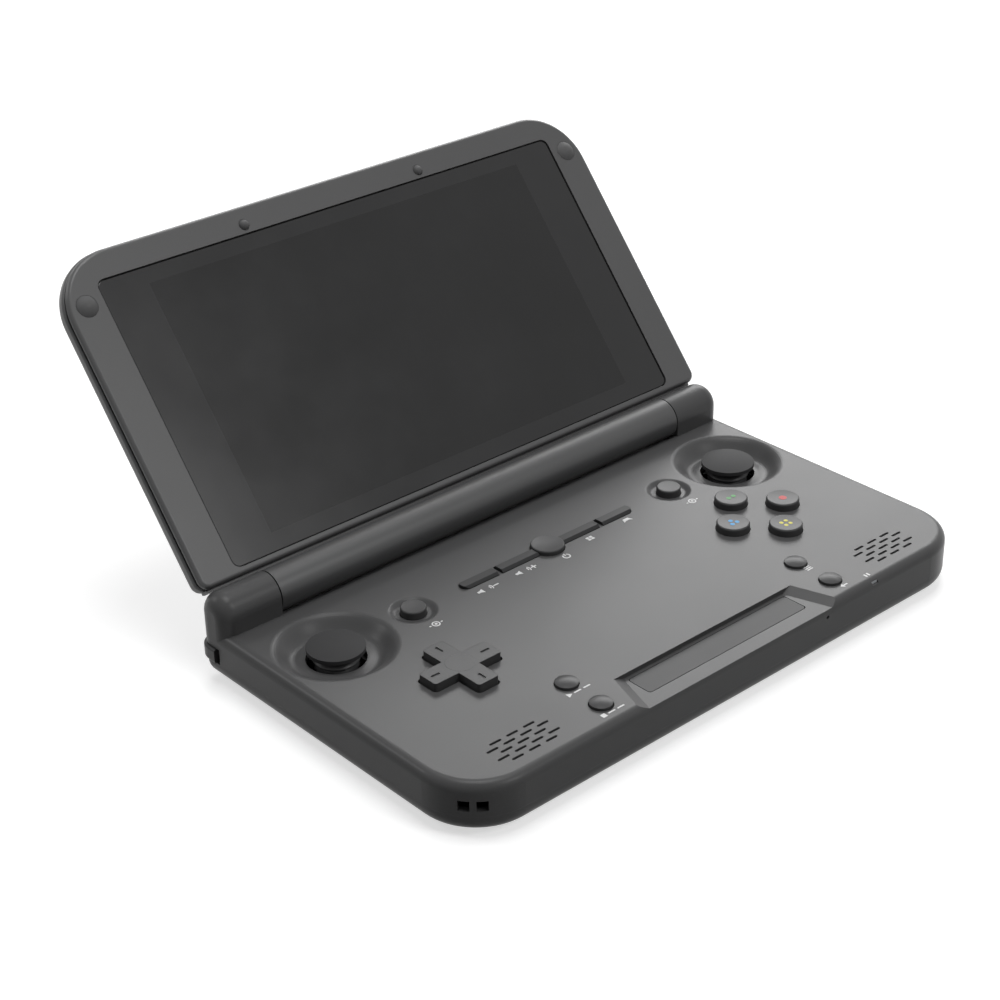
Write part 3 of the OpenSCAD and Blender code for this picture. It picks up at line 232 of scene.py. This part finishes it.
def moulded(name, colour, roughness=0.44, specular=0.25, grain=4.0, bump=0.00002, edge=0.12,
            wear=0.05, sheen=0.0):
    """Moulded plastic or rubber: grain, faint mottling, slight shine changes, soft edges."""
    mat, nodes, links, bsdf = surfaced(name)
    vector = coordinate(nodes)
    fine = noise(nodes, links, vector, grain, 3.0, 0.6)
    broad = noise(nodes, links, vector, 0.05, 3.0, 0.6)
    dark = tuple(c * (1 - wear) for c in colour)
    light = tuple(min(1, c * (1 + wear)) for c in colour)
    speckle = blend_colour(nodes, links, ranged(nodes, links, fine, 0, 1), dark, light)
    mottle = blend_colour(nodes, links, ranged(nodes, links, broad, 0, 0.5), speckle, light)
    links.new(mottle, bsdf.inputs["Base Color"])
    links.new(ranged(nodes, links, broad, roughness - 0.015, roughness + 0.02),
              bsdf.inputs["Roughness"])
    bsdf.inputs["Specular IOR Level"].default_value = specular
    if sheen:
        bsdf.inputs["Sheen Weight"].default_value = sheen
        bsdf.inputs["Sheen Roughness"].default_value = 0.5
    round_edge = nodes.new("ShaderNodeBevel")
    round_edge.samples = 4
    round_edge.inputs["Radius"].default_value = edge * MM
    relief = nodes.new("ShaderNodeBump")
    relief.inputs["Strength"].default_value = 0.5
    relief.inputs["Distance"].default_value = bump
    links.new(fine, relief.inputs["Height"])
    links.new(round_edge.outputs[0], relief.inputs["Normal"])
    links.new(relief.outputs[0], bsdf.inputs["Normal"])
    return mat


def metal(name, colour, roughness=0.3):
    """Plated steel with fine drawn lines."""
    mat, nodes, links, bsdf = surfaced(name)
    bsdf.inputs["Metallic"].default_value = 1.0
    stretch = nodes.new("ShaderNodeMapping")
    stretch.inputs["Scale"].default_value = (0.1, 1, 1)
    links.new(coordinate(nodes), stretch.inputs["Vector"])
    lines = noise(nodes, links, stretch.outputs[0], 6.0, 2.0, 0.6)
    links.new(blend_colour(nodes, links, ranged(nodes, links, lines, 0, 1),
                           tuple(c * 0.85 for c in colour), colour), bsdf.inputs["Base Color"])
    links.new(ranged(nodes, links, lines, roughness - 0.08, roughness + 0.1),
              bsdf.inputs["Roughness"])
    return mat


def glass_front(name, dark, light):
    """Touch glass over a display that is off: black, polished, with a faint coating."""
    mat, nodes, links, bsdf = surfaced(name)
    smudge = noise(nodes, links, coordinate(nodes), 0.04, 4.0, 0.6)
    links.new(blend_colour(nodes, links, ranged(nodes, links, smudge, 0, 1), dark, light),
              bsdf.inputs["Base Color"])
    links.new(ranged(nodes, links, smudge, 0.16, 0.24), bsdf.inputs["Roughness"])
    bsdf.inputs["Specular IOR Level"].default_value = 0.35
    return mat


MATERIALS = {
    "case": moulded("case_plastic", (0.076, 0.076, 0.077), roughness=0.32, specular=0.15),
    "lid": moulded("lid_plastic", (0.064, 0.064, 0.065), roughness=0.38, specular=0.45),
    "button": moulded("button_plastic", (0.062, 0.062, 0.063), roughness=0.33, specular=0.14,
                      edge=0.2),
    "rubber": moulded("dark_rubber", (0.040, 0.040, 0.041), roughness=0.6, specular=0.1, grain=6.0,
                      sheen=0.05),
    "pad_centre": moulded("pad_centre_plastic", (0.062, 0.062, 0.063), roughness=0.33,
                          specular=0.14, edge=0.0),
    "key": moulded("key_plastic", (0.033, 0.033, 0.034), roughness=0.33, specular=0.12,
                   edge=0.15),
    "dome": moulded("dome_rubber", (0.050, 0.050, 0.051), roughness=0.38, specular=0.3, edge=0.15),
    "bumper": moulded("bumper_rubber", (0.082, 0.082, 0.083), roughness=0.6, specular=0.3,
                      grain=6.0),
    "plate": moulded("plate_plastic", (0.078, 0.078, 0.079), roughness=0.44, specular=0.11,
                     grain=5.0, edge=0.06),
    "inner": moulded("inner_plastic", (0.030, 0.030, 0.031), roughness=0.5),
    "board": moulded("solder_mask", (0.015, 0.09, 0.04), roughness=0.35),
    "film": moulded("cable_film", (0.35, 0.18, 0.05), roughness=0.3),
    "guide": moulded("light_guide", (0.6, 0.62, 0.64), roughness=0.3),
    "steel": metal("plated_steel", (0.55, 0.55, 0.56)),
    "glass": glass_front("screen_glass", (0.012, 0.012, 0.0125), (0.0145, 0.0145, 0.015)),
    "display": glass_front("display_glass", (0.003, 0.003, 0.0032), (0.0042, 0.0042, 0.0045)),
    "ink_white": moulded("ink_white", (0.62, 0.62, 0.62), grain=8.0, edge=0.005),
    "ink_red": moulded("ink_red", (0.42, 0.03, 0.03), grain=8.0, edge=0.005),
    "ink_green": moulded("ink_green", (0.04, 0.22, 0.05), grain=8.0, edge=0.005),
    "ink_blue": moulded("ink_blue", (0.03, 0.25, 0.52), grain=8.0, edge=0.005),
    "ink_yellow": moulded("ink_yellow", (0.55, 0.50, 0.05), grain=8.0, edge=0.005),
}

LOOK = {
    "case": ["lower_case", "upper_case"],
    "lid": ["lid_cover", "lid_bezel"],
    "plate": ["notch_plate"],
    "rubber": ["rubber_feet", "dpad_membrane", "face_membrane", "stick_cap_left",
               "stick_cap_right"],
    "bumper": ["lid_bumpers"],
    "key": ["volume_down_key", "volume_up_key", "game_key", "view_key"],
    "inner": ["battery", "speaker_left", "speaker_right", "headphone_jack", "microphone",
              "stick_housing_left", "stick_housing_right", "display_panel"],
    "board": ["mainboard", "left_control_board", "right_control_board", "key_board"],
    "film": ["display_cable"],
    "guide": ["led_light_guide"],
    "steel": ["usb_socket", "hdmi_socket", "card_slot", "processor_shield", "case_screws",
              "lid_screws", "hinge_pins", "hinge_cartridges", "tact_switches",
              "stick_ring_left", "stick_ring_right", "dpad_pivot"],
    "glass": ["touch_glass"],
}


def dress_nodes():
    look_of = {node: look for look, names in LOOK.items() for node in names}
    for node, obj in frame["nodes"].items():
        mat = MATERIALS[look_of.get(node, "button")]
        obj.data.materials.clear()
        obj.data.materials.append(mat)


def piece(name, bm, looks, body, stands_for=None):
    """Object made from a finished bmesh, riding a body; it may stand for a CAD node."""
    mesh = bpy.data.meshes.new(name)
    bm.to_mesh(mesh)
    bm.free()
    for look in looks:
        mesh.materials.append(MATERIALS[look])
    obj = bpy.data.objects.new(name, mesh)
    bpy.context.collection.objects.link(obj)
    if stands_for:
        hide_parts(stands_for)
    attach(obj, body)


def ring(radius, start=0.0, end=360.0, width=0.34, steps=36):
    """Arc of ink as a list of quads, in millimetres round the origin."""
    quads = []
    count = max(3, int(steps * abs(end - start) / 360))
    for i in range(count):
        a = math.radians(start + (end - start) * i / count)
        b = math.radians(start + (end - start) * (i + 1) / count)
        inner, outer = radius - width / 2, radius + width / 2
        quads.append([(inner * math.cos(a), inner * math.sin(a)),
                      (outer * math.cos(a), outer * math.sin(a)),
                      (outer * math.cos(b), outer * math.sin(b)),
                      (inner * math.cos(b), inner * math.sin(b))])
    return quads


def bar(x, y, w, d):
    return [[(x - w / 2, y - d / 2), (x + w / 2, y - d / 2),
             (x + w / 2, y + d / 2), (x - w / 2, y + d / 2)]]


def disc(x, y, r, steps=20):
    return [[(x + r * math.cos(2 * math.pi * i / steps), y + r * math.sin(2 * math.pi * i / steps))
             for i in range(steps)]]


def wedge(points):
    return [list(points)]


def mark(name, body, at, shapes, ink="ink_white"):
    """Flat ink on a surface: each shape is a closed outline in mm round the place `at`."""
    bm = bmesh.new()
    for outline in shapes:
        low = [bm.verts.new((x * MM, y * MM, 0)) for x, y in outline]
        high = [bm.verts.new((x * MM, y * MM, INK * MM)) for x, y in outline]
        bm.faces.new(high)
        bm.faces.new(low[::-1])
        for i in range(len(outline)):
            j = (i + 1) % len(outline)
            bm.faces.new((low[i], low[j], high[j], high[i]))
    bm.transform(Matrix.Translation(at))
    piece(name, bm, [ink], body)


def loudspeaker():
    """Loudspeaker symbol to the left of the origin."""
    horn = wedge([(-2.4, 0.35), (-2.4, -0.35), (-1.5, -0.8), (-1.5, 0.8)])
    return (bar(-2.75, 0, 0.7, 0.7) + horn
            + ring(0.6, -45, 45, 0.28) + ring(1.15, -45, 45, 0.28))


def shifted(shapes, dx, dy=0.0):
    return [[(x + dx, y + dy) for x, y in outline] for outline in shapes]


def deck_marks():
    """White marks in front of the buttons, plain symbols only."""
    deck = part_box("notch_plate")[1][2] + DECK_OVER_PLATE * MM

    def put(name, node, ahead, shapes, aside=0.0):
        x, y, _ = centre(node)
        mark(name, "base", (x + aside * MM, y - ahead * MM, deck), shapes)

    dashes = bar(-0.5, 0, 1.9, 0.4) + bar(2.1, 0, 1.9, 0.4)
    sound = shifted(loudspeaker(), 0.1)
    minus = bar(2.35, 0, 1.5, 0.36)
    put("mark_volume_down", "volume_down_key", 4.3, sound + minus, -0.8)
    put("mark_volume_up", "volume_up_key", 4.2,
        sound + minus + bar(2.35, 0.465, 0.36, 0.57) + bar(2.35, -0.465, 0.36, 0.57), -1.0)
    put("mark_power", "power_button", 6.0,
        ring(0.85, 125, 415, 0.32) + bar(0, 0.75, 0.32, 0.95), 0.4)
    put("mark_view", "view_key", 3.8, bar(-0.5, 0.42, 0.8, 0.66) + bar(0.5, 0.42, 0.8, 0.66)
        + bar(-0.5, -0.42, 0.8, 0.66) + bar(0.5, -0.42, 0.8, 0.66), 0.4)
    put("mark_game", "game_key", 3.5,
        wedge([(-1.35, -0.7), (-0.6, -0.25), (0.6, -0.25), (1.35, -0.7),
               (0.8, 0.7), (-0.8, 0.7)]), 1.0)
    for side, aside in (("left", -0.1), ("right", 0.0)):
        put("mark_click_" + side, side + "_click_button", 7.85,
            ring(0.85, width=0.32) + disc(0, 0, 0.36) + bar(-1.6, 0, 0.5, 0.36)
            + bar(1.6, 0, 0.5, 0.36), aside)
    put("mark_start", "start_button", 3.5,
        wedge([(-3.3, 0.7), (-3.3, -0.7), (-2.0, 0)]) + dashes, 0.3)
    put("mark_select", "select_button", 3.4, bar(-2.7, 0, 1.2, 1.2) + dashes, 0.2)
    put("mark_menu", "menu_button", 3.4, bar(0, 0.6, 1.8, 0.3) + bar(0, 0, 1.8, 0.3)
        + bar(0, -0.6, 1.8, 0.3), 0.4)
    put("mark_return", "return_button", 3.55,
        wedge([(-1.1, 0), (-0.1, -0.7), (-0.1, 0.7)]) + bar(0.5, 0, 1.2, 0.36), 0.5)
    x = centre("led_light_guide")[0]
    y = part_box("upper_case")[0][1] + 2.9 * MM
    mark("mark_light", "base", (x, y, deck), bar(-0.45, 0, 0.5, 1.1) + bar(0.45, 0, 0.5, 1.1))


def button_pips():
    """Coloured dots on the face buttons, one to four."""
    dots = {
        "face_button_right": ("ink_red", disc(0, 0, 0.95)),
        "face_button_back": ("ink_green", disc(-0.8, 0, 0.6) + disc(0.8, 0, 0.6)),
        "face_button_left": ("ink_blue", disc(-0.8, -0.5, 0.55) + disc(0.8, -0.5, 0.55)
                             + disc(0, 0.85, 0.55)),
        "face_button_front": ("ink_yellow", [d for x in (-0.75, 0.75) for y in (-0.75, 0.75)
                                             for d in disc(x, y, 0.5)]),
    }
    for node, (ink, shapes) in dots.items():
        x, y, _ = centre(node)
        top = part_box(node)[1][2]
        mark("pips_" + node, node + "_press_body", (x, y, top - PIPS_UNDER_RIM * MM), shapes, ink)


def rounded(x0, y0, x1, y1, r, steps=8):
    """Rounded rectangle as a list of points, anticlockwise, in millimetres."""
    points = []
    for cx, cy, start in ((x1 - r, y1 - r, 0), (x0 + r, y1 - r, 90),
                          (x0 + r, y0 + r, 180), (x1 - r, y0 + r, 270)):
        for i in range(steps + 1):
            a = math.radians(start + 90 * i / steps)
            points.append((cx + r * math.cos(a), cy + r * math.sin(a)))
    return points


def loft(bm, rings):
    """Joins closed rings of (x, y, z) points in mm, and returns their vertices."""
    made = [[bm.verts.new(Vector(p) * MM) for p in ring_points] for ring_points in rings]
    for a, b in zip(made, made[1:]):
        for i in range(len(a)):
            j = (i + 1) % len(a)
            bm.faces.new((a[i], a[j], b[j], b[i]))
    return made


def screen():
    """Touch glass with eased edges: a black border round the display's dark active area."""
    half, y0, y1, corner, low, high, ease = 67.45, 7.5, 78.0, 1.9, 0.0, 0.9, 0.22
    area_half, area_y0, area_y1 = 55.35, 11.8, 74.05
    bm = bmesh.new()

    def ring_at(inset, z):
        return [(x, y, z) for x, y in rounded(-half + inset, y0 + inset, half - inset, y1 - inset,
                                              corner - inset)]

    rings = loft(bm, [ring_at(ease, low), ring_at(0, low + ease), ring_at(0, high - ease),
                      ring_at(ease * 0.3, high - ease * 0.3), ring_at(ease, high)])
    bm.faces.new(rings[0][::-1])
    edge = rings[-1]
    area = [bm.verts.new(Vector((x, y, high)) * MM)
            for x, y in ((area_half, area_y1), (-area_half, area_y1),
                         (-area_half, area_y0), (area_half, area_y0))]
    per = len(edge) // 4
    for k in range(4):
        arc = edge[k * per:(k + 1) * per]
        for i in range(per - 1):
            bm.faces.new((arc[i], arc[i + 1], area[k]))
        nxt = edge[((k + 1) * per) % len(edge)]
        bm.faces.new((arc[-1], nxt, area[(k + 1) % 4], area[k]))
    lit = bm.faces.new(area)
    lit.material_index = 1
    bm.transform(LID)
    piece("screen_glass_plate", bm, ["glass", "display"], "lid", "touch_glass")


def turned(name, body, at, section, look, steps=72):
    """Piece turned round a vertical line through `at`, from a closed (radius, height) section."""
    bm = bmesh.new()
    rings = []
    for i in range(steps):
        a = math.tau * i / steps
        rings.append([bm.verts.new(Vector((r * math.cos(a), r * math.sin(a), z)) * MM + Vector(at))
                      for r, z in section])
    for i in range(steps):
        a, b = rings[i], rings[(i + 1) % steps]
        for k in range(len(section)):
            m = (k + 1) % len(section)
            bm.faces.new((a[k], a[m], b[m], b[k]))
    bmesh.ops.remove_doubles(bm, verts=bm.verts, dist=1e-7)
    bmesh.ops.recalc_face_normals(bm, faces=bm.faces)
    for face in bm.faces:
        face.smooth = True
    piece(name, bm, [look], body)


def dpad_centre():
    """Flat fill of the directional pad's middle, which is dished in the solid."""
    section = [(0.0, 0.012), (1.6, 0.012), (3.15, 0.012), (3.2, 0.012), (3.25, 0.009), (3.28, 0.0),
               (2.4, -0.13), (0.0, -0.262)]
    x, y, _ = centre("dpad")
    turned("dpad_centre", "dpad_body", (x, y, DPAD_TOP_Z), section, "pad_centre")


def arc(radius, start, end, steps=12):
    """(radius, height) points of an arc, its angles measured from the upright, in degrees."""
    angles = (math.radians(start + (end - start) * i / steps) for i in range(steps + 1))
    return [(radius * math.sin(a), radius * math.cos(a)) for a in angles]


def stick_domes():
    """Dust domes on the sticks: zones of a ball round the pivot, so they turn in their holes."""
    ball, inner, rim = 6.6, 6.1, 52
    neck, neck_under = 25.5, 27.7
    section = arc(ball, neck, rim) + arc(inner, rim, neck_under)
    for side in ("left", "right"):
        x, y, _ = centre("stick_cap_" + side)
        turned("stick_dust_dome_" + side, "stick_%s_body" % side, (x, y, STICK_PIVOT_Z),
               section, "dome")


def lid_lips():
    """Lips that close the gap between the lid's lower edge and each knuckle."""
    inner, root, x_in, x_out = 5.1, 5.95, 61.9, 75.4
    top, low, steps = -0.85, -3.2, 12
    section = [(inner, top + (low - top) * i / steps) for i in range(steps + 1)]
    section += [(root, low + 0.1), (root, top)]
    # Distance along the hinge, and how far the section is drawn in towards its root there
    stations = [(x_in, 0.0), (x_in + 0.12, 0.0), (x_out - 0.5, 0.0), (x_out, 0.25)]
    for side, sign in (("left", -1), ("right", 1)):
        bm = bmesh.new()
        rings = loft(bm, [[(sign * x, y + (root - y) * draw, z) for y, z in section]
                          for x, draw in stations])
        bm.faces.new(rings[0][::-1])
        bm.faces.new(rings[-1])
        bmesh.ops.recalc_face_normals(bm, faces=bm.faces)
        bm.transform(LID)
        piece("lid_lip_" + side, bm, ["lid"], "lid")


make_camera()
bpy.context.scene.view_settings.view_transform = "Standard"
make_world()
make_floor()
make_lights()
dress_nodes()
deck_marks()
button_pips()
screen()
lid_lips()
stick_domes()
dpad_centre()
